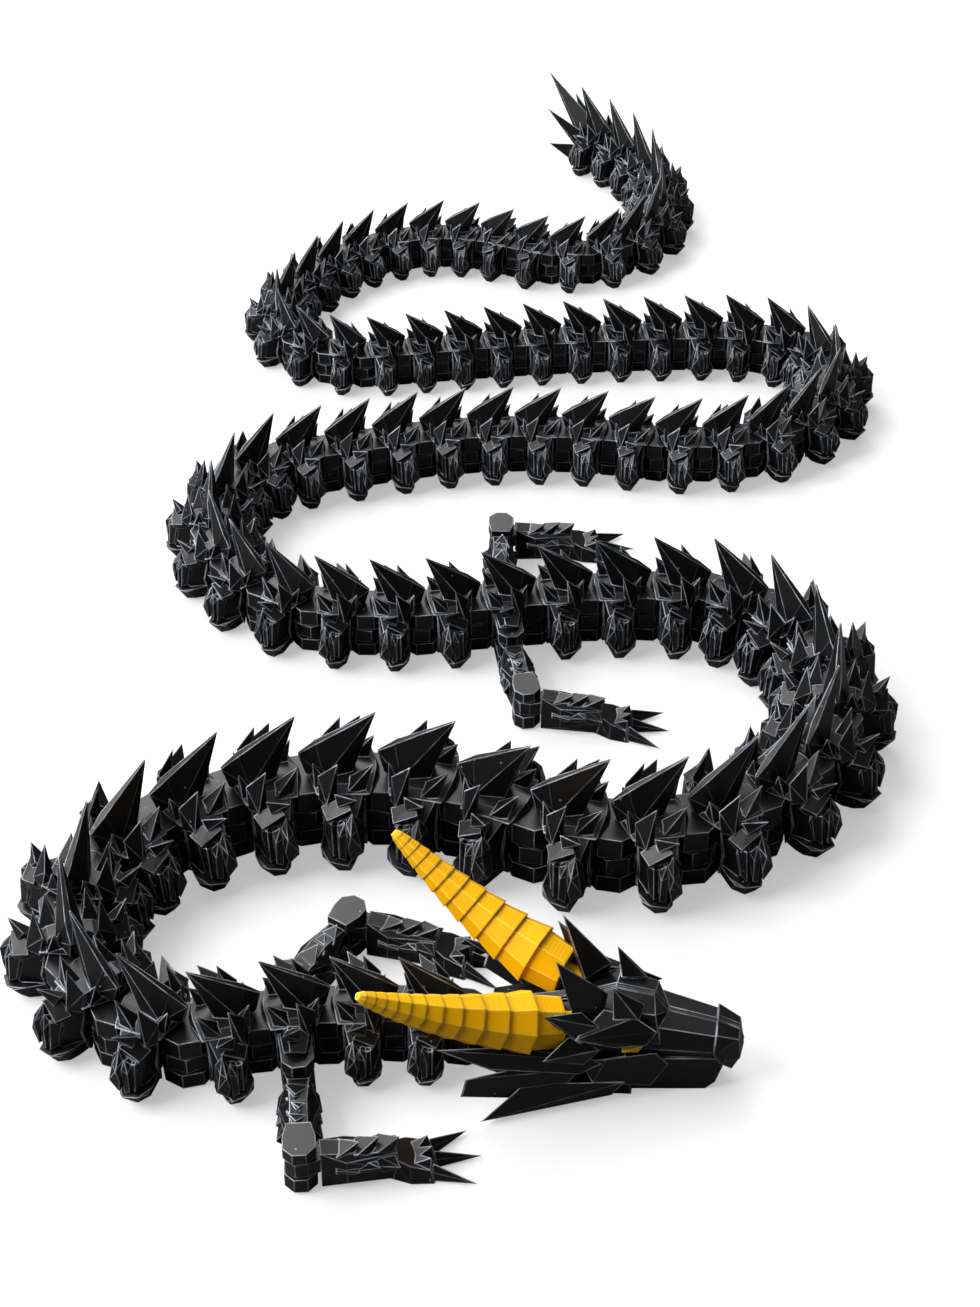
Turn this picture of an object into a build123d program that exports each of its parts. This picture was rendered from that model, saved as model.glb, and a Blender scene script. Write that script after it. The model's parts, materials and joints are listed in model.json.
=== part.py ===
"""Articulated crystal dragon: a long chain of faceted links on upright hinge posts, with four
two-piece legs, a horned head and a tail fan, lying on the ground in an S. Millimetres, +Z up."""

import os
from math import cos, radians, sin

from build123d import *

os.makedirs("parts", exist_ok=True)

# ---- Driving dimensions -------------------------------------------------------------------

link_count = 84
# Pitch (post to post) at a few links, counted from the neck; links between them grow evenly.
pitch_at_link = {1: 10.5, 13: 14.0, 27: 10.5, 45: 9.5, 65: 8.0, 84: 8.5}
pattern_pitch = 14.0  # the links and legs are drawn at this pitch and scaled to their own
# How the chain lies: (number of joints, turn at each in degrees), from the neck to the tail.
bends = [
    (3, 6), (1, -34), (4, -29), (1, -18), (4, -13), (1, 15), (4, 18), (5, 23), (2, 5), (2, 1),
    (2, -8), (3, -19), (4, -25), (2, -1), (5, -5), (2, 10), (3, 17), (3, 34), (2, 10), (6, 1),
    (2, 0), (2, -18), (3, -30), (2, -7), (5, -14), (1, 3), (1, 20), (1, 23), (3, 21), (2, 16),
    (2, 10),
]  # fmt: skip
neck_heading = 176.5  # direction from the head joint into the first link, degrees from +X
head_turn = 3.8  # how far the head looks round from the first link, degrees

single_links = (*range(1, 11), 27, 84)  # links in a node of their own; the rest go in pairs
front_leg_link = 3
rear_leg_link = 27
long_spine_links = 4  # links at the tail end with longer dorsal blades

post_radius = 1.05  # hinge post, at the pattern pitch
post_clearance = 0.06  # radial, between a post and its eye
ear_low = (0.04, 0.30)  # heights of the lower ear, in pitches
ear_high = (0.64, 0.96)  # heights of the upper ear
leg_ear_high = (0.64, 0.84)
eye_heights = (0.34, 0.60)  # heights of the eye that swings between the ears
post_sink = 0.05  # how far the post stops inside the outer face of each ear
ear_radius = 0.40  # the body's ears are drums that fill the gap between two links
leg_ear_radius = 0.25
eye_margin = 0.02  # how much smaller an eye is than its ears
room = 0.03  # left free round and over a neighbour's drum
core_half_length = 0.27

upper_leg_length = 1.55  # hip post to knee post, in pitches
lower_leg_length = 1.75  # knee post to the root of the claws
claw_length = 0.78
thigh_half_width = 0.29
wrist_setback = 0.42  # wrist from the root of the claws
claw_spread = 24  # degrees between neighbouring claws
hip_offset = 0.80  # hip post from the middle of its link, sideways
side_dorsal_reach = 1.0
tail_dorsal_reach = 1.32

head_length = 45.0  # neck post to the tip of the snout
horn_ribs = 12
horn_base_radius = 5.9
horn_tip_radius = 0.7
horn_peg_radius = 1.6
horn_peg_length = 4.0

# Heading of each upper leg and lower leg, in degrees from +X.
leg_headings = {
    "front_right": (-86, 9),
    "front_left": (56, -12),
    "rear_right": (-80, -7),
    "rear_left": (88, 3),
}


# ---- Small crystals that everything is made of --------------------------------------------


def crystal(unit, points, mode=Mode.ADD):
    """One flat-faced crystal, the hull of points given in units."""
    ConvexPolyhedron([(x * unit, y * unit, z * unit) for x, y, z in points], mode=mode)


def crystal_pair(unit, points):
    """A crystal and its mirror image on the other side."""
    crystal(unit, points)
    crystal(unit, [(x, -y, z) for x, y, z in points])


def octagon(radius):
    """Corners of an eight-sided outline around the origin."""
    return [(radius * cos(radians(a)), radius * sin(radians(a))) for a in range(22, 382, 45)]


def lobe(unit, centre, radius, heights, root, root_half):
    """A flat eight-sided lobe around a post at x = centre, on a neck that starts at x = root."""
    corners = [(centre + x, y) for x, y in octagon(radius)]
    corners += [(root, root_half), (root, -root_half)]
    crystal(unit, [(x, y, z) for x, y in corners for z in heights])


def add_ears(unit, centre=0.5, root=0.2, root_half=0.17, radius=ear_radius, upper=ear_high):
    """Two ears with the upright post between them."""
    for heights in (ear_low, upper):
        lobe(unit, centre, radius, heights, root, root_half)
    low = ear_low[0] + post_sink
    high = upper[1] - post_sink
    with Locations((centre * unit, 0, low * unit)):
        Cylinder(
            post_radius * unit / pattern_pitch,
            (high - low) * unit,
            align=(Align.CENTER, Align.CENTER, Align.MIN),
        )


def add_eye(unit, centre=-0.5, root=-0.2, radius=ear_radius):
    """A flat eye bored for the neighbour's post."""
    lobe(unit, centre, radius - eye_margin, eye_heights, root, 0.13)
    with Locations((centre * unit, 0, 0)):
        Cylinder(
            (post_radius + post_clearance) * unit / pattern_pitch,
            eye_heights[1] * unit + 1,
            align=(Align.CENTER, Align.CENTER, Align.MIN),
            mode=Mode.SUBTRACT,
        )


def cut_drum_room(unit, centre, heights, radius=ear_radius):
    """Clears a ring round a hinge post, where a neighbour's drum turns."""
    corners = octagon((radius + room) / cos(radians(22.5)))
    span = (heights[0] - room, heights[1] + room)
    crystal(unit, [(centre + x, y, z) for x, y in corners for z in span], Mode.SUBTRACT)


def cut_leg_room(unit):
    """Clears the top of a limb round the ears that it hangs in."""
    for heights in (ear_low, leg_ear_high):
        cut_drum_room(unit, 0.0, heights, leg_ear_radius)


def add_hinges(unit, last=False):
    """The eye at the head side and, except on the last link, the ears at the tail side."""
    for heights in ((ear_low[0] - 0.1, ear_low[1]), ear_high):
        cut_drum_room(unit, -0.5, heights)
    if not last:
        cut_drum_room(unit, 0.5, eye_heights)
        add_ears(unit)
    add_eye(unit)


# ---- Body link, drawn at the pattern pitch: x runs towards the tail, z = 0 is the ground ------


def add_core(unit):
    half = core_half_length
    outline = [(0.30, 0.0), (0.40, 0.16), (0.46, 0.48), (0.38, 0.84), (0.20, 1.02)]
    crystal(unit, [(x, y * s, z) for x in (-half, half) for y, z in outline for s in (-1, 1)])


def add_deck(unit):
    """The roof of the link, over the neighbour's upper ear, that the spines stand on."""
    deck = ear_high[1] + room
    half_outline = [(0.44, 0.08), (0.375, 0.30), (0.33, 0.44)]
    points = [(x * s, y * t, deck) for x, y in half_outline for s in (1, -1) for t in (1, -1)]
    points += [(0.40 * s, 0.06 * t, deck + 0.09) for s in (1, -1) for t in (1, -1)]
    points += [(0.22 * s, 0.30 * t, deck + 0.06) for s in (1, -1) for t in (1, -1)]
    crystal(unit, points)


def add_dorsal(unit, reach):
    """The tall kite-shaped blade on the back, leaning towards the tail."""
    crystal(
        unit,
        [
            (0.42 * reach, 0.012, 1.0 + 0.98 * reach),
            (0.42 * reach, -0.012, 1.0 + 0.98 * reach),
            (-0.57, 0.02, 1.30),
            (-0.57, -0.02, 1.30),
            (-0.34, 0.05, 1.49),
            (-0.34, -0.05, 1.49),
            (-0.49, 0.05, 1.01),
            (-0.49, -0.05, 1.01),
            (-0.24, 0.21, 1.07),
            (-0.24, -0.21, 1.07),
            (0.07, 0.05, 1.05),
            (0.07, -0.05, 1.05),
            (-0.20, 0.17, 0.88),
            (-0.20, -0.17, 0.88),
            (0.05, 0.12, 0.90),
            (0.05, -0.12, 0.90),
        ],
    )


def add_side_spines(unit):
    """The second spine, the low rear crystal and the shingles between them, on both sides."""
    crystal_pair(
        unit,
        [
            (-0.05, 0.44, 1.52),
            (-0.31, 0.36, 1.24),
            (-0.31, 0.44, 0.92),
            (-0.20, 0.61, 0.98),
            (-0.08, 0.50, 0.94),
            (-0.20, 0.28, 0.92),
        ],
    )
    crystal_pair(
        unit,
        [
            (0.19, 0.79, 1.23),
            (-0.10, 0.60, 1.16),
            (-0.06, 0.70, 1.03),
            (0.10, 0.42, 0.98),
            (0.10, 0.62, 0.90),
            (-0.06, 0.44, 0.90),
        ],
    )
    crystal_pair(
        unit,
        [
            (-0.38, 0.22, 1.34),
            (-0.36, 0.34, 1.00),
            (-0.38, 0.14, 1.02),
            (-0.14, 0.34, 1.00),
            (-0.14, 0.16, 1.02),
        ],
    )
    crystal_pair(
        unit,
        [
            (0.38, 0.27, 1.36),
            (0.06, 0.17, 1.05),
            (0.06, 0.42, 1.02),
            (0.28, 0.38, 1.00),
            (0.30, 0.16, 1.02),
        ],
    )


def add_flank(unit):
    """Side block, tilted plate, three upright columns and the boat-shaped foot, on both sides."""
    crystal_pair(
        unit,
        [
            (-0.26, 0.36, 0.12),
            (0.26, 0.36, 0.12),
            (-0.17, 0.76, 0.36),
            (0.15, 0.76, 0.36),
            (-0.26, 0.36, 1.01),
            (0.26, 0.36, 1.01),
            (-0.17, 0.74, 0.82),
            (0.17, 0.74, 0.86),
        ],
    )
    crystal_pair(
        unit,
        [
            (-0.27, 0.58, 0.93),
            (0.02, 0.58, 1.10),
            (0.11, 0.77, 1.05),
            (-0.19, 0.79, 0.88),
            (-0.22, 0.50, 0.80),
            (0.06, 0.48, 0.90),
            (0.12, 0.70, 0.88),
            (-0.17, 0.74, 0.76),
        ],
    )
    crystal_pair(
        unit,
        [
            (-0.20, 0.70, 0.82),
            (-0.14, 0.84, 0.86),
            (-0.06, 0.80, 0.80),
            (-0.17, 0.79, 0.40),
            (-0.13, 0.89, 0.36),
            (-0.06, 0.86, 0.38),
            (-0.16, 0.60, 0.36),
            (-0.08, 0.60, 0.84),
        ],
    )
    crystal_pair(
        unit,
        [
            (-0.07, 0.80, 0.80),
            (0.03, 0.82, 0.88),
            (0.05, 0.88, 0.74),
            (-0.05, 0.90, 0.70),
            (-0.06, 0.92, 0.36),
            (0.03, 0.91, 0.30),
            (0.06, 0.60, 0.40),
            (-0.06, 0.60, 0.80),
        ],
    )
    crystal_pair(
        unit,
        [
            (0.04, 0.82, 0.86),
            (0.12, 0.76, 0.98),
            (0.22, 0.74, 0.84),
            (0.18, 0.88, 0.80),
            (0.10, 0.95, 0.76),
            (0.06, 0.94, 0.52),
            (0.23, 0.92, 0.52),
            (0.25, 0.86, 0.40),
            (0.10, 0.92, 0.32),
            (0.26, 0.76, 0.42),
            (0.06, 0.60, 0.40),
            (0.06, 0.60, 0.84),
        ],
    )
    crystal_pair(
        unit,
        [
            (-0.30, 0.70, 0.34),
            (-0.27, 0.84, 0.30),
            (-0.18, 0.94, 0.31),
            (0.05, 0.97, 0.27),
            (0.13, 0.86, 0.20),
            (0.17, 0.72, 0.32),
            (-0.26, 0.32, 0.30),
            (0.26, 0.32, 0.30),
            (-0.22, 0.66, 0.06),
            (-0.18, 0.48, 0.0),
            (0.15, 0.48, 0.0),
            (-0.08, 0.78, 0.0),
            (0.07, 0.78, 0.0),
            (-0.22, 0.34, 0.08),
            (0.24, 0.34, 0.08),
        ],
    )


with BuildPart() as link_pattern:
    add_core(pattern_pitch)
    add_deck(pattern_pitch)
    add_dorsal(pattern_pitch, side_dorsal_reach)
    add_side_spines(pattern_pitch)
    add_flank(pattern_pitch)
    add_hinges(pattern_pitch)

with BuildPart() as tail_pattern:
    add_core(pattern_pitch)
    add_deck(pattern_pitch)
    add_dorsal(pattern_pitch, tail_dorsal_reach)
    add_side_spines(pattern_pitch)
    add_flank(pattern_pitch)
    add_hinges(pattern_pitch)

# The last link has no ears: a fan of long crystals closes the tail.
with BuildPart() as tip_pattern:
    add_core(pattern_pitch)
    add_deck(pattern_pitch)
    add_dorsal(pattern_pitch, tail_dorsal_reach)
    add_side_spines(pattern_pitch)
    add_flank(pattern_pitch)
    add_hinges(pattern_pitch, last=True)
    crystal(
        pattern_pitch,
        [
            (1.75, 0.0, 2.35),
            (0.55, 0.16, 1.10),
            (0.55, -0.16, 1.10),
            (0.10, 0.30, 0.70),
            (0.10, -0.30, 0.70),
            (0.35, 0.0, 1.55),
            (0.70, 0.0, 0.80),
            (0.15, 0.20, 0.30),
            (0.15, -0.20, 0.30),
        ],
    )
    crystal_pair(
        pattern_pitch,
        [
            (1.30, 0.62, 1.62),
            (0.42, 0.50, 0.86),
            (0.15, 0.30, 1.10),
            (0.60, 0.22, 0.70),
            (0.15, 0.45, 0.50),
            (0.15, 0.10, 0.55),
        ],
    )
    crystal_pair(
        pattern_pitch,
        [
            (0.98, 0.88, 0.72),
            (0.34, 0.66, 0.52),
            (0.12, 0.60, 0.88),
            (0.44, 0.28, 0.40),
            (0.12, 0.30, 0.30),
            (0.12, 0.60, 0.20),
        ],
    )

# A leg link carries two side hinges in place of its columns and feet.
with BuildPart() as leg_link_pattern:
    add_core(pattern_pitch)
    add_deck(pattern_pitch)
    add_dorsal(pattern_pitch, side_dorsal_reach)
    add_side_spines(pattern_pitch)
    add_hinges(pattern_pitch)
    for side in (90, -90):
        with Locations(Location((0, 0, 0), (0, 0, side))):
            cut_drum_room(pattern_pitch, hip_offset, eye_heights, leg_ear_radius)
            add_ears(pattern_pitch, hip_offset, 0.3, 0.24, leg_ear_radius, leg_ear_high)
    crystal_pair(
        pattern_pitch,
        [
            (-0.22, 0.40, 0.76),
            (0.24, 0.36, 0.76),
            (-0.20, 0.70, 0.80),
            (0.20, 0.70, 0.80),
            (-0.24, 0.46, 1.02),
            (0.10, 0.46, 1.08),
            (-0.12, 0.86, 0.92),
            (0.10, 0.86, 0.98),
        ],
    )


# ---- Legs: x runs from the hip down the leg --------------------------------------------------


def add_scales(unit, start, end, rows, half_width, top):
    """Overlapping crystal scales along the top and both sides of a limb."""
    step = (end - start) / rows
    for row in range(rows):
        x = start + step * row
        lift = 0.05 * (row % 2)
        crystal(
            unit,
            [
                (x - 0.02, 0.10, top - 0.10),
                (x - 0.02, -0.12, top - 0.10),
                (x + 0.10, 0.16, top - 0.04),
                (x + 0.06, -0.18, top - 0.03),
                (x + step + 0.10, -0.04 + lift, top + 0.08),
                (x + step, 0.12, top - 0.14),
                (x + step, -0.12, top - 0.14),
            ],
        )
        for s in (1, -1):
            crystal(
                unit,
                [
                    (x, s * (half_width - 0.10), top - 0.12),
                    (x + 0.04, s * (half_width + 0.03), 0.42 - lift),
                    (x + 0.02, s * (half_width - 0.04), 0.16),
                    (x + step + 0.08, s * (half_width + 0.07), 0.38 + lift),
                    (x + step, s * (half_width - 0.12), top - 0.16),
                    (x + step, s * (half_width - 0.10), 0.14),
                ],
            )


with BuildPart() as upper_leg_pattern:
    crystal(
        pattern_pitch,
        [
            (x, y * s, z)
            for x, y, z in (
                (0.27, 0.16, 0.02),
                (0.27, 0.24, 0.30),
                (0.27, 0.15, 0.66),
                (0.60, thigh_half_width, 0.12),
                (0.70, thigh_half_width, 0.56),
                (0.75, 0.12, 0.76),
                (upper_leg_length - 0.27, 0.16, 0.02),
                (upper_leg_length - 0.27, 0.18, 0.40),
                (upper_leg_length - 0.27, 0.13, 0.70),
            )
            for s in (1, -1)
        ],
    )
    add_scales(pattern_pitch, 0.36, upper_leg_length - 0.48, 3, 0.26, 0.74)
    cut_leg_room(pattern_pitch)
    cut_drum_room(pattern_pitch, upper_leg_length, eye_heights, leg_ear_radius)
    add_eye(pattern_pitch, 0.0, 0.34, leg_ear_radius)
    knee_root = upper_leg_length - 0.34
    add_ears(pattern_pitch, upper_leg_length, knee_root, 0.17, leg_ear_radius, leg_ear_high)

with BuildPart() as lower_leg_pattern:
    wrist = lower_leg_length - wrist_setback
    crystal(
        pattern_pitch,
        [
            (x, y * s, z)
            for x, y, z in (
                (0.27, 0.16, 0.02),
                (0.27, 0.18, 0.36),
                (0.27, 0.13, 0.68),
                (0.62, 0.27, 0.16),
                (0.62, 0.24, 0.56),
                (wrist, 0.17, 0.02),
                (wrist, 0.20, 0.30),
                (wrist, 0.12, 0.50),
            )
            for s in (1, -1)
        ],
    )
    add_scales(pattern_pitch, 0.44, wrist - 0.05, 3, 0.22, 0.66)
    cut_leg_room(pattern_pitch)
    add_eye(pattern_pitch, 0.0, 0.34, leg_ear_radius)
    crystal(
        pattern_pitch,
        [
            (x, y * s, z)
            for x, y, z in (
                (wrist - 0.12, 0.15, 0.0),
                (wrist - 0.12, 0.14, 0.46),
                (wrist + 0.16, 0.32, 0.03),
                (wrist + 0.16, 0.26, 0.34),
                (lower_leg_length + 0.06, 0.34, 0.0),
                (lower_leg_length + 0.02, 0.28, 0.22),
            )
            for s in (1, -1)
        ],
    )
    for spread in (-claw_spread, 0, claw_spread):
        with Locations(Location((wrist * pattern_pitch, 0, 0), (0, 0, spread))):
            reach = wrist_setback + claw_length - (0.04 if spread else 0)
            root = wrist_setback - 0.06
            crystal(
                pattern_pitch,
                [
                    (root - 0.16, 0.08, 0.02),
                    (root - 0.16, -0.08, 0.02),
                    (root - 0.10, 0.09, 0.30),
                    (root - 0.10, -0.09, 0.30),
                    (root + 0.16, 0.13, 0.06),
                    (root + 0.16, -0.13, 0.06),
                    (root + 0.14, 0.0, 0.40),
                    (root + 0.22, 0.10, 0.0),
                    (root + 0.22, -0.10, 0.0),
                ],
            )
            crystal(
                pattern_pitch,
                [
                    (reach, 0.0, 0.05),
                    (root + 0.16, 0.10, 0.03),
                    (root + 0.16, -0.10, 0.03),
                    (root + 0.20, 0.0, 0.28),
                    (root + 0.05, 0.08, 0.20),
                    (root + 0.05, -0.08, 0.20),
                ],
            )


# ---- Head, at its real size: x runs from the neck post to the snout --------------------------

horn_line = Bezier((16.4, 5.2, 14.6), (8.0, 8.0, 16.0), (-3.0, 13.5, 22.0), (-13.0, 17.5, 30.0))
horn_shoulder = 0.10  # the horn narrows again from here into its seat, as a share of its length
horn_rib_ratio = 0.88  # each rib is this much shorter than the one before it


def horn_radius(t):
    seated = min(1.0, 0.72 + 0.28 * t / horn_shoulder)
    return seated * horn_base_radius * (1 - t) ** 0.80 + horn_tip_radius * t


def rib_start(rib):
    return (1 - horn_rib_ratio**rib) / (1 - horn_rib_ratio**horn_ribs)


def horn_ring(t, radius):
    """Eight corners around the horn's line at t."""
    centre = horn_line.position_at(t)
    along = horn_line.tangent_at(t)
    across = along.cross(Vector(0, 0, 1)).normalized()
    up = across.cross(along).normalized()
    return [centre + across * x + up * y for x, y in octagon(radius)]


horn_root = horn_line.position_at(0.03)
horn_back = -horn_line.tangent_at(0)

with BuildPart() as horn_pattern:
    for rib in range(horn_ribs):
        start = rib_start(rib)
        end = rib_start(rib + 1)
        wide = horn_ring(start + 0.008, horn_radius(start))
        narrow = horn_ring(min(end + 0.014, 1.0), horn_radius(end) * 0.88)
        ConvexPolyhedron(wide + narrow)
    with Locations(Plane(origin=horn_root, z_dir=horn_back).location):
        Cylinder(
            horn_peg_radius,
            horn_peg_length,
            align=(Align.CENTER, Align.CENTER, Align.MIN),
        )

# A gold stone under each brow.
with BuildPart() as eye_pattern:
    crystal(
        1.0,
        [
            (26.2, 4.8, 11.2),
            (27.6, 4.8, 12.9),
            (29.6, 4.4, 13.2),
            (28.8, 4.4, 11.2),
            (26.2, 7.5, 11.4),
            (27.6, 7.7, 12.4),
            (29.6, 7.0, 13.0),
            (28.7, 7.2, 11.5),
        ],
    )

with BuildPart() as head_pattern:
    # skull
    crystal_pair(
        1.0,
        [
            (4.7, -1.0, 0.0),
            (4.7, 5.5, 2.0),
            (4.7, 5.5, 9.0),
            (4.7, -1.0, 11.5),
            (12.0, -1.0, 13.0),
            (12.0, 7.5, 9.5),
            (14.0, 8.5, 5.5),
            (16.0, 7.0, 0.0),
            (24.0, -1.0, 17.5),
            (25.0, 5.0, 15.0),
            (27.0, 7.0, 10.0),
            (28.0, 6.0, 0.0),
            (28.0, -1.0, 0.0),
        ],
    )
    # forehead and brow
    crystal_pair(
        1.0,
        [
            (17.0, -0.5, 15.0),
            (17.0, 5.0, 13.0),
            (24.5, -0.5, 18.6),
            (25.0, 4.4, 17.6),
            (30.5, -0.5, 17.6),
            (31.0, 3.6, 16.4),
            (33.5, -0.5, 13.5),
            (32.0, 5.2, 11.5),
        ],
    )
    crystal_pair(
        1.0,
        [
            (19.0, 9.6, 15.6),
            (23.0, 4.5, 17.6),
            (28.0, 5.0, 17.0),
            (31.5, 5.6, 14.8),
            (30.0, 7.2, 13.2),
            (25.0, 8.6, 13.6),
            (26.0, 4.0, 12.0),
        ],
    )
    # cheek below the eye
    crystal_pair(
        1.0,
        [
            (20.0, 8.6, 9.6),
            (24.0, 8.4, 10.6),
            (31.5, 6.0, 10.4),
            (33.5, 5.2, 7.0),
            (31.0, 6.4, 3.0),
            (22.0, 8.8, 5.0),
            (24.0, 4.0, 5.0),
        ],
    )
    # snout, nose block and lower jaw
    crystal_pair(
        1.0,
        [
            (28.0, -0.5, 15.4),
            (28.0, 4.4, 14.8),
            (28.0, 6.0, 11.0),
            (29.0, 5.4, 8.6),
            (head_length - 3.2, -0.5, 12.4),
            (head_length - 3.2, 2.9, 11.9),
            (head_length - 3.2, 4.0, 9.4),
            (head_length - 3.2, 3.8, 8.3),
        ],
    )
    crystal_pair(
        1.0,
        [
            (head_length - 4.4, -0.5, 13.4),
            (head_length - 4.4, 3.4, 12.8),
            (head_length - 4.6, 4.7, 9.6),
            (head_length - 3.6, 4.5, 7.6),
            (head_length - 0.8, -0.5, 11.8),
            (head_length - 0.8, 2.4, 11.2),
            (head_length, -0.5, 8.6),
            (head_length - 0.4, 2.6, 7.4),
            (head_length - 0.4, -0.5, 4.4),
            (head_length - 1.6, 2.4, 4.2),
        ],
    )
    crystal_pair(
        1.0,
        [
            (26.0, -0.5, 7.6),
            (27.0, 6.0, 8.2),
            (26.0, 5.6, 0.6),
            (33.0, 5.4, 8.5),
            (40.0, -0.5, 8.3),
            (head_length - 2.6, 3.9, 8.1),
            (head_length - 2.0, -0.5, 6.0),
            (head_length - 4.0, 3.2, 1.6),
            (head_length - 5.5, 3.4, 0.0),
            (head_length - 5.5, -0.5, 0.0),
            (30.0, 4.6, 0.0),
            (26.0, -0.5, 0.0),
        ],
    )
    # crest crystals above and beside the horn roots
    crystal_pair(
        1.0,
        [
            (15.4, 5.0, 28.0),
            (19.5, 1.8, 17.2),
            (23.5, 3.2, 20.0),
            (18.4, 6.8, 18.0),
            (19.0, 4.2, 13.5),
            (23.0, 4.6, 16.0),
        ],
    )
    crystal_pair(
        1.0,
        [
            (24.2, 4.4, 22.6),
            (25.2, 2.2, 18.0),
            (29.2, 2.8, 17.8),
            (28.6, 5.2, 16.4),
            (24.6, 5.8, 17.0),
            (26.4, 4.0, 14.5),
        ],
    )
    crystal_pair(
        1.0,
        [
            (14.2, 10.2, 21.0),
            (19.6, 6.2, 18.4),
            (22.6, 7.2, 16.4),
            (20.0, 9.0, 14.4),
            (17.6, 6.8, 12.6),
            (22.0, 5.0, 12.4),
        ],
    )
    crystal_pair(
        1.0,
        [
            (14.4, 12.4, 13.2),
            (18.4, 8.2, 15.4),
            (23.0, 8.6, 12.8),
            (20.6, 9.6, 10.2),
            (16.4, 8.6, 9.2),
            (21.0, 6.0, 10.6),
        ],
    )
    # frill blades behind the cheeks
    crystal_pair(
        1.0,
        [
            (-2.2, 12.2, 13.2),
            (10.0, 9.4, 12.6),
            (24.0, 8.2, 9.8),
            (20.0, 9.8, 8.0),
            (6.0, 12.0, 9.6),
            (12.0, 6.8, 8.6),
            (18.0, 6.4, 7.8),
        ],
    )
    crystal_pair(
        1.0,
        [
            (2.6, 13.6, 8.6),
            (1.8, 13.8, 4.6),
            (12.0, 10.2, 9.4),
            (20.0, 8.8, 8.0),
            (17.0, 10.4, 4.0),
            (9.0, 12.4, 3.8),
            (14.0, 6.6, 3.6),
        ],
    )
    crystal_pair(
        1.0,
        [
            (5.2, 15.4, 1.0),
            (11.5, 11.4, 6.2),
            (19.0, 9.6, 5.6),
            (27.0, 7.6, 4.6),
            (25.0, 7.6, 1.2),
            (17.0, 9.4, 0.0),
            (13.0, 6.4, 0.4),
        ],
    )
    # neck hinge
    cut_drum_room(pitch_at_link[1], 0.0, eye_heights)
    with Locations(Location((0, 0, 0), (0, 0, 180))):
        add_ears(pitch_at_link[1], 0.0, -0.52)
    # seats for the horns and the eye stones, cut to their own shape
    for seated in (horn_pattern.part, eye_pattern.part):
        add(seated, mode=Mode.SUBTRACT)
        add(mirror(seated, about=Plane.XZ), mode=Mode.SUBTRACT)


# ---- Laying the chain out --------------------------------------------------------------------


def pitch_of(link):
    """Pitch of a link, between the stated ones in proportion."""
    stated = sorted(pitch_at_link)
    before = max(number for number in stated if number <= link)
    after = min(number for number in stated if number >= link)
    if before == after:
        return pitch_at_link[before]
    share = (link - before) / (after - before)
    return pitch_at_link[before] + share * (pitch_at_link[after] - pitch_at_link[before])


def ahead(point, heading, distance):
    return point + Vector(cos(radians(heading)), sin(radians(heading)), 0) * distance


def placed(pattern, size, point, heading):
    """A pattern at its own size, on the ground at a point and turned to a heading."""
    return Location(point, (0, 0, heading)) * scale(pattern, by=size)


turns = [turn for count, turn in bends for _ in range(count)]
posts = {1: Vector(0, 0, 0)}  # the hinge post at the head side of each link
headings = {}
centres = {}
heading = neck_heading
for link in range(1, link_count + 1):
    headings[link] = heading
    centres[link] = ahead(posts[link], heading, pitch_of(link) / 2)
    posts[link + 1] = ahead(posts[link], heading, pitch_of(link))
    if link < link_count:
        heading += turns[link - 1]

hips = {}
knees = {}
leg_pitch = {}
for leg, (upper_heading, lower_heading) in leg_headings.items():
    owner = front_leg_link if leg.startswith("front") else rear_leg_link
    outward = headings[owner] + (90 if leg.endswith("right") else -90)
    leg_pitch[leg] = pitch_of(owner)
    hips[leg] = ahead(centres[owner], outward, hip_offset * leg_pitch[leg])
    knees[leg] = ahead(hips[leg], upper_heading, upper_leg_length * leg_pitch[leg])

head_heading = neck_heading - head_turn + 180
solids = {
    "head": [placed(head_pattern.part, 1, posts[1], head_heading)],
    "horn_left": [placed(horn_pattern.part, 1, posts[1], head_heading)],
    "horn_right": [placed(mirror(horn_pattern.part, about=Plane.XZ), 1, posts[1], head_heading)],
    "eyes": [
        placed(stone, 1, posts[1], head_heading)
        for stone in (eye_pattern.part, mirror(eye_pattern.part, about=Plane.XZ))
    ],
}
for leg, (upper_heading, lower_heading) in leg_headings.items():
    size = leg_pitch[leg] / pattern_pitch
    solids[f"{leg}_upper_leg"] = [placed(upper_leg_pattern.part, size, hips[leg], upper_heading)]
    solids[f"{leg}_lower_leg"] = [placed(lower_leg_pattern.part, size, knees[leg], lower_heading)]

link = 1
while link <= link_count:
    members = [link] if link in single_links else [link, link + 1]
    name = "link_" + "_".join(f"{number:02d}" for number in members)
    solids[name] = []
    for number in members:
        if number == link_count:
            pattern = tip_pattern
        elif number in (front_leg_link, rear_leg_link):
            pattern = leg_link_pattern
        elif number > link_count - long_spine_links:
            pattern = tail_pattern
        else:
            pattern = link_pattern
        size = pitch_of(number) / pattern_pitch
        solids[name].append(placed(pattern.part, size, centres[number], headings[number]))
    link += len(members)

# The origin is on the ground, under the middle of the whole dragon.
boxes = [solid.bounding_box() for group in solids.values() for solid in group]
middle_x = (min(box.min.X for box in boxes) + max(box.max.X for box in boxes)) / 2
middle_y = (min(box.min.Y for box in boxes) + max(box.max.Y for box in boxes)) / 2
to_origin = Location((-middle_x, -middle_y, 0))

for name, group in solids.items():
    with BuildPart() as node:
        for solid in group:
            add(to_origin * solid)
    node.part.label = name
    export_step(node.part, f"parts/{name}.step", write_pcurves=False)
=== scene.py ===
"""Articulated crystal dragon: finishes for its black links and gold horns, on a pale floor."""

import json
from math import atan, cos, radians, sin

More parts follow.
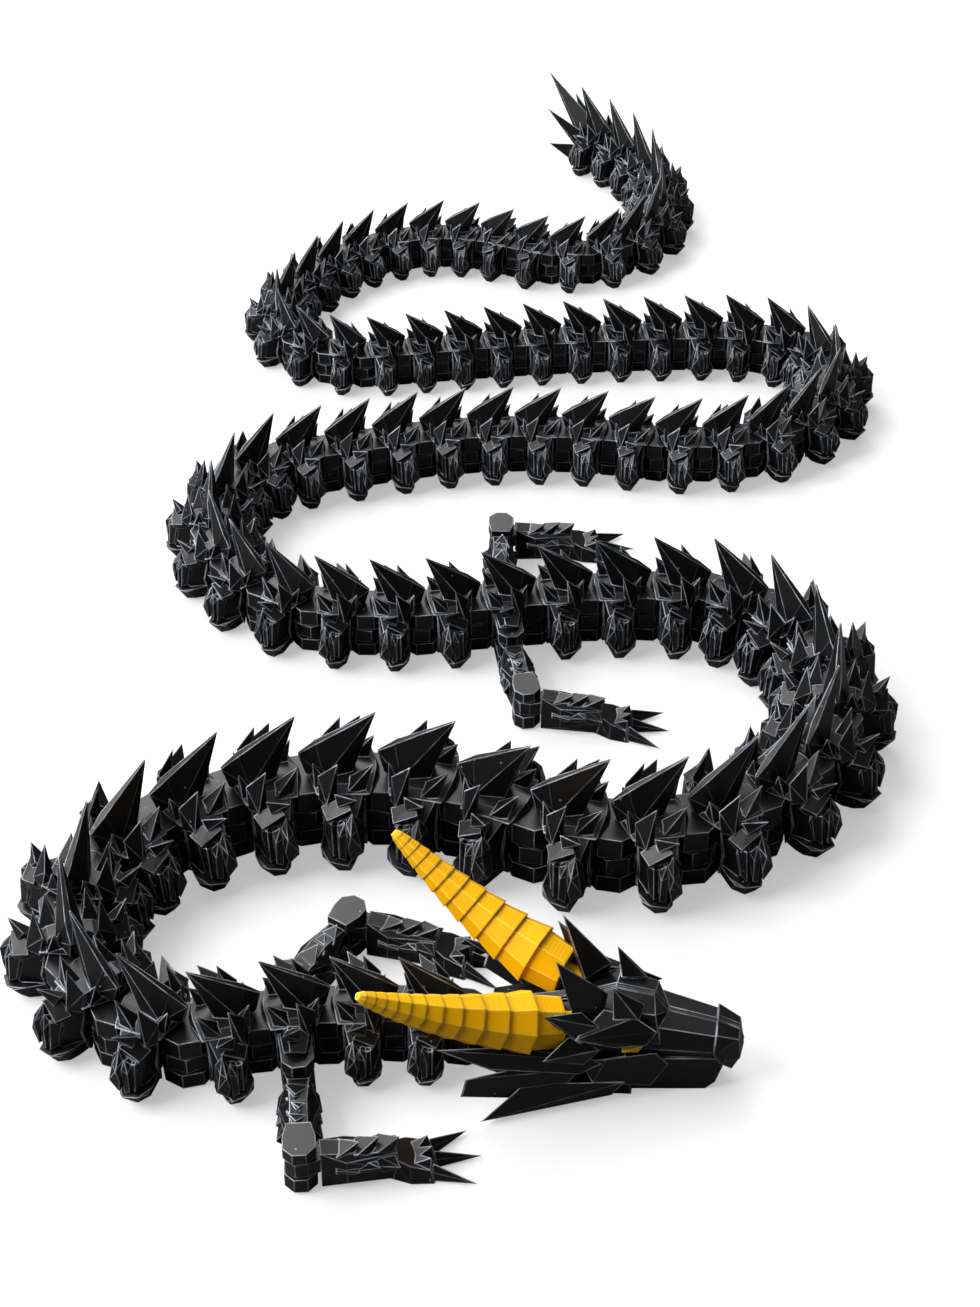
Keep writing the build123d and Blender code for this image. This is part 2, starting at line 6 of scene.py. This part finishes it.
import bpy
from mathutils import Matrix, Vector


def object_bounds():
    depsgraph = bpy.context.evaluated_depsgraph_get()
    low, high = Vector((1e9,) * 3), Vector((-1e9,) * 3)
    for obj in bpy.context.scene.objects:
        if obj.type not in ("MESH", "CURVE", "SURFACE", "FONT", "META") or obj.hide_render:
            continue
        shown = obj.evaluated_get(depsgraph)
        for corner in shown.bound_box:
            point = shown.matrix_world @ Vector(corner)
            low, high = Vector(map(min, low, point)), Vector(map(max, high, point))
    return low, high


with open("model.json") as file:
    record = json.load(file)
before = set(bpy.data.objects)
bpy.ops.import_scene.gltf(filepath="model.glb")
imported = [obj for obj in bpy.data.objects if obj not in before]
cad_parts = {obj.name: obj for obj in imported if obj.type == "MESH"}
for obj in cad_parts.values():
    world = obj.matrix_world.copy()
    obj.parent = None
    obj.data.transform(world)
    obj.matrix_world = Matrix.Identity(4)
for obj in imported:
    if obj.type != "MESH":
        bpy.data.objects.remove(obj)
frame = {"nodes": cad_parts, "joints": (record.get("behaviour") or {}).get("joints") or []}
cad_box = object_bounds()

# ---- Sizes, in metres ----------------------------------------------------------------------

layer_height = 0.0002  # one printed layer
black_edge_round = 0.00026  # how far the rounded edge of a black crystal, with its painted highlight line, reaches
gold_edge_round = 0.00042
floor_gap = 0.00002  # how far the floor lies under the feet, so that they don't share a plane
camera_distance = 0.49253
camera_elevation = 40.757  # degrees above the ground
frame_height_at_target = 0.2476  # how much of the object's plane fits in the picture's height
look_ahead_of_neck = Vector((0.00466, 0.09729, 0.0))  # from the neck hinge to the camera's target

# ---- Finishes and light --------------------------------------------------------------------

black_faces = (0.0022, 0.0024, 0.0028), (0.0052, 0.0056, 0.0064)  # dull and bright patches
# Pale grey along the black crystals' edges: a painted highlight.
black_painted_edge_highlight = (0.52, 0.55, 0.60)
dust_colour = (0.22, 0.22, 0.22)
black_roughness = 0.30, 0.48
gold_faces = (0.76, 0.33, 0.001), (0.96, 0.52, 0.003)
# Pale yellow along the gold edges: a painted highlight.
gold_painted_edge_highlight = (1.0, 0.86, 0.15)
gold_roughness = 0.36
floor_bounce = (0.16, 0.16, 0.16)  # what the floor throws back at the object
floor_paper = (0.93, 0.93, 0.93)  # what the camera sees
floor_white = 0.985
floor_white_share = 0.45
# Two lamps: place from the middle of the object, width and watts.
softboxes = {
    "back_softbox": (Vector((-0.35, 0.75, 0.75)), 0.8, 13.0),
    "left_softbox": (Vector((-0.75, -0.20, 0.62)), 0.7, 13.0),
}
sky_bright_side = Vector((-0.40, 0.45, 0.80))
sky_ramp = 0.30, 1.0  # how nearly a direction faces the bright side, from dim to full
sky_strength = 0.05, 1.0


# ---- Node groups ----------------------------------------------------------------------------


def new_group(name, inputs, outputs):
    """An empty shader group with its named sockets: (name, type, default)."""
    group = bpy.data.node_groups.new(name, "ShaderNodeTree")
    for label, kind, default in inputs:
        socket = group.interface.new_socket(label, in_out="INPUT", socket_type=kind)
        if default is not None:
            socket.default_value = default
    for label, kind in outputs:
        group.interface.new_socket(label, in_out="OUTPUT", socket_type=kind)
    entry = group.nodes.new("NodeGroupInput")
    leave = group.nodes.new("NodeGroupOutput")
    return group, entry.outputs, leave.inputs


def math_node(tree, operation, first, second=None, clamp=False):
    """A math node whose inputs are sockets or numbers; returns its output."""
    node = tree.nodes.new("ShaderNodeMath")
    node.operation = operation
    node.use_clamp = clamp
    for socket, value in zip(node.inputs, (first, second)):
        if value is None:
            continue
        if isinstance(value, (int, float)):
            socket.default_value = value
        else:
            tree.links.new(value, socket)
    return node.outputs[0]


def noise_node(tree, position, scale, detail=2.0):
    node = tree.nodes.new("ShaderNodeTexNoise")
    node.inputs["Scale"].default_value = scale
    node.inputs["Detail"].default_value = detail
    tree.links.new(position, node.inputs["Vector"])
    return node.outputs["Fac"]


def ramp_node(tree, value, low, high):
    """Maps low..high to 0..1, clamped, with a smooth shoulder."""
    node = tree.nodes.new("ShaderNodeMapRange")
    node.interpolation_type = "SMOOTHSTEP"
    node.inputs["From Min"].default_value = low
    node.inputs["From Max"].default_value = high
    tree.links.new(value, node.inputs["Value"])
    return node.outputs["Result"]


def make_edge_group():
    """Where two crystal faces meet: a mask for the painted highlight line, and the rounded
    normal.
    """
    group, entry, leave = new_group(
        "crystal_edges",
        [
            ("Radius", "NodeSocketFloat", 0.0002),
            ("Threshold", "NodeSocketFloat", 0.04),
            ("Breakup", "NodeSocketFloat", 0.5),
        ],
        [("Edge", "NodeSocketFloat"), ("Normal", "NodeSocketVector")],
    )
    bevel = group.nodes.new("ShaderNodeBevel")
    bevel.samples = 6
    group.links.new(entry["Radius"], bevel.inputs["Radius"])
    geometry = group.nodes.new("ShaderNodeNewGeometry")
    dot = group.nodes.new("ShaderNodeVectorMath")
    dot.operation = "DOT_PRODUCT"
    group.links.new(bevel.outputs["Normal"], dot.inputs[0])
    group.links.new(geometry.outputs["True Normal"], dot.inputs[1])
    bend = math_node(group, "SUBTRACT", 1.0, dot.outputs["Value"])
    sharp = math_node(group, "DIVIDE", bend, entry["Threshold"], clamp=True)
    texture = group.nodes.new("ShaderNodeTexCoord")
    # Noise patches choose which edges carry the painted highlight line; the rest are hidden by
    # Breakup.
    patches = noise_node(group, texture.outputs["Object"], 260.0)
    painted_highlight_patches = ramp_node(group, patches, 0.36, 0.62)
    painted_highlight_gaps = math_node(group, "SUBTRACT", 1.0, painted_highlight_patches)
    hidden = math_node(group, "MULTIPLY", entry["Breakup"], painted_highlight_gaps)
    share = math_node(group, "SUBTRACT", 1.0, hidden)
    group.links.new(math_node(group, "MULTIPLY", sharp, share, clamp=True), leave["Edge"])
    group.links.new(bevel.outputs["Normal"], leave["Normal"])
    return group


def make_layer_group():
    """Printed layers: a fine height stripe up the piece, and a slow uneven sheen."""
    group, entry, leave = new_group(
        "printed_layers",
        [("Layer", "NodeSocketFloat", layer_height), ("Unevenness", "NodeSocketFloat", 0.5)],
        [("Height", "NodeSocketFloat"), ("Sheen", "NodeSocketFloat")],
    )
    texture = group.nodes.new("ShaderNodeTexCoord")
    split = group.nodes.new("ShaderNodeSeparateXYZ")
    group.links.new(texture.outputs["Object"], split.inputs[0])
    wander = noise_node(group, texture.outputs["Object"], 90.0)
    layers = math_node(group, "DIVIDE", split.outputs["Z"], entry["Layer"])
    shift = math_node(group, "MULTIPLY", wander, entry["Unevenness"])
    shifted = math_node(group, "ADD", layers, shift)
    stripe = math_node(group, "PINGPONG", shifted, 0.5)
    group.links.new(math_node(group, "MULTIPLY", stripe, 2.0), leave["Height"])
    group.links.new(wander, leave["Sheen"])
    return group


def make_dust_group():
    """Sparse pale specks of dust and print stringing."""
    group, entry, leave = new_group(
        "dust_specks",
        [("Scale", "NodeSocketFloat", 900.0), ("Size", "NodeSocketFloat", 0.16)],
        [("Speck", "NodeSocketFloat")],
    )
    texture = group.nodes.new("ShaderNodeTexCoord")
    cells = group.nodes.new("ShaderNodeTexVoronoi")
    group.links.new(texture.outputs["Object"], cells.inputs["Vector"])
    group.links.new(entry["Scale"], cells.inputs["Scale"])
    near = math_node(group, "LESS_THAN", cells.outputs["Distance"], entry["Size"])
    split = group.nodes.new("ShaderNodeSeparateColor")
    group.links.new(cells.outputs["Color"], split.inputs[0])
    rare = math_node(group, "GREATER_THAN", split.outputs[0], 0.93)
    group.links.new(math_node(group, "MULTIPLY", near, rare), leave["Speck"])
    return group


edge_group = make_edge_group()
layer_group = make_layer_group()
dust_group = make_dust_group()


# ---- Materials ------------------------------------------------------------------------------


def group_node(tree, group, **values):
    node = tree.nodes.new("ShaderNodeGroup")
    node.node_tree = group
    for label, value in values.items():
        node.inputs[label].default_value = value
    return node


def mix_colour(tree, factor, first, second):
    """Mixes two colours; either may be a socket."""
    node = tree.nodes.new("ShaderNodeMix")
    node.data_type = "RGBA"
    tree.links.new(factor, node.inputs["Factor"])
    for label, value in (("A", first), ("B", second)):
        socket = next(s for s in node.inputs if s.name == label and s.type == "RGBA")
        if isinstance(value, tuple):
            socket.default_value = (*value, 1.0)
        else:
            tree.links.new(value, socket)
    return next(s for s in node.outputs if s.type == "RGBA")


def start_material(name):
    material = bpy.data.materials.new(name)
    material.use_nodes = True
    tree = material.node_tree
    return material, tree, tree.nodes["Principled BSDF"]


def layer_bump(tree, height, normal, strength, depth):
    bump = tree.nodes.new("ShaderNodeBump")
    bump.inputs["Strength"].default_value = strength
    bump.inputs["Distance"].default_value = depth
    tree.links.new(height, bump.inputs["Height"])
    tree.links.new(normal, bump.inputs["Normal"])
    return bump.outputs["Normal"]


def make_black_print():
    """Near-black printed plastic with a thin painted highlight line along its edges, and a little
    dust.
    """
    material, tree, shader = start_material("black_print")
    edges = group_node(tree, edge_group, Radius=black_edge_round, Threshold=0.035, Breakup=0.70)
    layers = group_node(tree, layer_group)
    dust = group_node(tree, dust_group)
    face = mix_colour(tree, layers.outputs["Sheen"], *black_faces)
    # Painted highlight: pale colour laid along the edge mask.
    edged = mix_colour(tree, edges.outputs["Edge"], face, black_painted_edge_highlight)
    dusty = mix_colour(tree, dust.outputs["Speck"], edged, dust_colour)
    tree.links.new(dusty, shader.inputs["Base Color"])
    rough = tree.nodes.new("ShaderNodeMapRange")
    for label, value in zip(("To Min", "To Max"), black_roughness):
        rough.inputs[label].default_value = value
    tree.links.new(layers.outputs["Sheen"], rough.inputs["Value"])
    tree.links.new(rough.outputs["Result"], shader.inputs["Roughness"])
    shader.inputs["Specular IOR Level"].default_value = 0.34
    normal = layer_bump(tree, layers.outputs["Height"], edges.outputs["Normal"], 0.10, 0.00003)
    tree.links.new(normal, shader.inputs["Normal"])
    return material


def make_gold_print():
    """Silky gold printed plastic: amber to yellow in random patches, with a painted pale yellow
    highlight along its ribs' edges.
    """
    material, tree, shader = start_material("gold_print")
    edges = group_node(tree, edge_group, Radius=gold_edge_round, Threshold=0.09, Breakup=0.35)
    layers = group_node(tree, layer_group)
    face = mix_colour(tree, layers.outputs["Sheen"], *gold_faces)
    # Painted highlight: pale yellow laid along the edge mask.
    edged = mix_colour(tree, edges.outputs["Edge"], face, gold_painted_edge_highlight)
    tree.links.new(edged, shader.inputs["Base Color"])
    shader.inputs["Roughness"].default_value = gold_roughness
    shader.inputs["Specular IOR Level"].default_value = 0.12
    normal = layer_bump(tree, layers.outputs["Height"], edges.outputs["Normal"], 0.30, 0.00005)
    tree.links.new(normal, shader.inputs["Normal"])
    return material


black_print = make_black_print()
gold_print = make_gold_print()

for name, node in frame["nodes"].items():
    gold = name.startswith("horn") or name == "eyes"
    node.data.materials.clear()
    node.data.materials.append(gold_print if gold else black_print)


# ---- Floor, light and camera ----------------------------------------------------------------

low, high = cad_box
middle = (low + high) / 2
reach = (high - low).length


def make_floor():
    """A plain pale floor that stays white to the camera and keeps a soft shadow."""
    place = (middle.x, middle.y, low.z - floor_gap)
    bpy.ops.mesh.primitive_plane_add(size=reach * 12, location=place)
    floor = bpy.context.object
    floor.name = "floor"
    material, tree, shader = start_material("floor_white")
    shader.inputs["Roughness"].default_value = 0.9
    shader.inputs["Specular IOR Level"].default_value = 0.0
    white = tree.nodes.new("ShaderNodeEmission")
    white.inputs["Color"].default_value = (floor_white, floor_white, floor_white, 1.0)
    path = tree.nodes.new("ShaderNodeLightPath")
    paper = mix_colour(tree, path.outputs["Is Camera Ray"], floor_bounce, floor_paper)
    tree.links.new(paper, shader.inputs["Base Color"])
    share = math_node(tree, "MULTIPLY", path.outputs["Is Camera Ray"], floor_white_share)
    mix = tree.nodes.new("ShaderNodeMixShader")
    tree.links.new(share, mix.inputs[0])
    tree.links.new(shader.outputs[0], mix.inputs[1])
    tree.links.new(white.outputs[0], mix.inputs[2])
    tree.links.new(mix.outputs[0], tree.nodes["Material Output"].inputs["Surface"])
    floor.data.materials.append(material)


def softbox(name, place, aim, size, power):
    """A square area lamp at a place, turned to an aim."""
    lamp = bpy.data.lights.new(name, "AREA")
    lamp.shape = "SQUARE"
    lamp.size = size
    lamp.energy = power
    item = bpy.data.objects.new(name, lamp)
    bpy.context.scene.collection.objects.link(item)
    item.location = place
    item.rotation_euler = (aim - place).to_track_quat("-Z", "Y").to_euler()


def make_light():
    """The two softboxes, and a sky that is bright on one side and dim on the other."""
    for name, (place, size, power) in softboxes.items():
        softbox(name, middle + place, middle, size, power)
    world = bpy.data.worlds.new("studio")
    world.use_nodes = True
    tree = world.node_tree
    texture = tree.nodes.new("ShaderNodeTexCoord")
    towards = tree.nodes.new("ShaderNodeVectorMath")
    towards.operation = "DOT_PRODUCT"
    towards.inputs[1].default_value = sky_bright_side.normalized()
    tree.links.new(texture.outputs["Generated"], towards.inputs[0])
    glow = tree.nodes.new("ShaderNodeMapRange")
    glow.interpolation_type = "SMOOTHSTEP"
    labels = ("From Min", "From Max", "To Min", "To Max")
    for label, value in zip(labels, sky_ramp + sky_strength):
        glow.inputs[label].default_value = value
    tree.links.new(towards.outputs["Value"], glow.inputs["Value"])
    tree.links.new(glow.outputs["Result"], tree.nodes["Background"].inputs["Strength"])
    tree.nodes["Background"].inputs["Color"].default_value = (1.0, 1.0, 1.0, 1.0)
    bpy.context.scene.world = world


def make_camera():
    """Looks along +Y and down at the loops, from in front of the head."""
    neck = next(joint for joint in frame["joints"] if joint["name"] == "head_hinge")
    target = Vector((neck["pos_m"][0], neck["pos_m"][1], 0.0)) + look_ahead_of_neck
    elevation = radians(camera_elevation)
    data = bpy.data.cameras.new("camera")
    data.sensor_fit = "VERTICAL"
    data.angle = 2 * atan(frame_height_at_target / 2 / camera_distance)
    data.clip_start = 0.01
    camera = bpy.data.objects.new("camera", data)
    camera.location = target + Vector((0.0, -cos(elevation), sin(elevation))) * camera_distance
    camera.rotation_euler = (radians(90 - camera_elevation), 0.0, 0.0)
    bpy.context.scene.collection.objects.link(camera)
    bpy.context.scene.camera = camera


make_floor()
make_light()
make_camera()
bpy.context.scene.view_settings.view_transform = "Standard"
